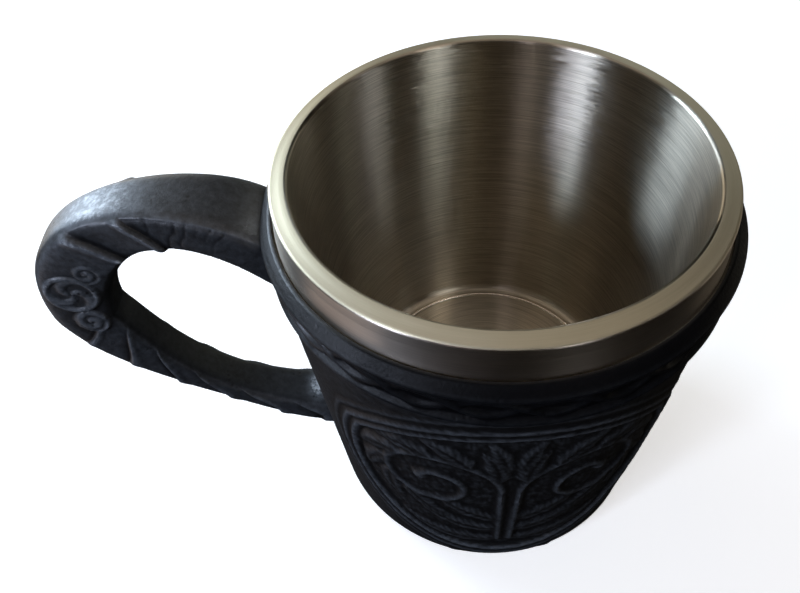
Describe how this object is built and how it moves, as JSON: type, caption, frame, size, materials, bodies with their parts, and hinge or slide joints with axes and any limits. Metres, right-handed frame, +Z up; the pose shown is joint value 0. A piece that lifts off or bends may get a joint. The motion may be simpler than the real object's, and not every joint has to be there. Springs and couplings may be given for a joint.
{
  "type": "tankard mug",
  "caption": "Tapered drinking mug with a double-walled steel insert bonded into a carved dark resin body, and a carved loop handle with a finger gap.",
  "frame": {"origin": "centre of the base, on the mug's axis, at the surface it stands on", "axes": "+Z up along the mug's axis, handle along -X"},
  "size_m": [0.1539, 0.0994, 0.102],
  "materials": {
    "cup_steel": "stainless steel, brushed round the mouth, satin land",
    "jacket_steel": "stainless steel, satin",
    "cured_epoxy": "cured two-part epoxy, dull",
    "black_resin": "cold-cast resin, black, rubbed grey-blue on the raised carving"
  },
  "bodies": {
    "root": {"inner_cup": "cup_steel", "outer_jacket": "jacket_steel", "jacket_base": "jacket_steel", "insert_adhesive": "cured_epoxy", "resin_body": "black_resin", "handle": "black_resin", "handle_adhesive": "cured_epoxy"}
  },
  "joints": []
}
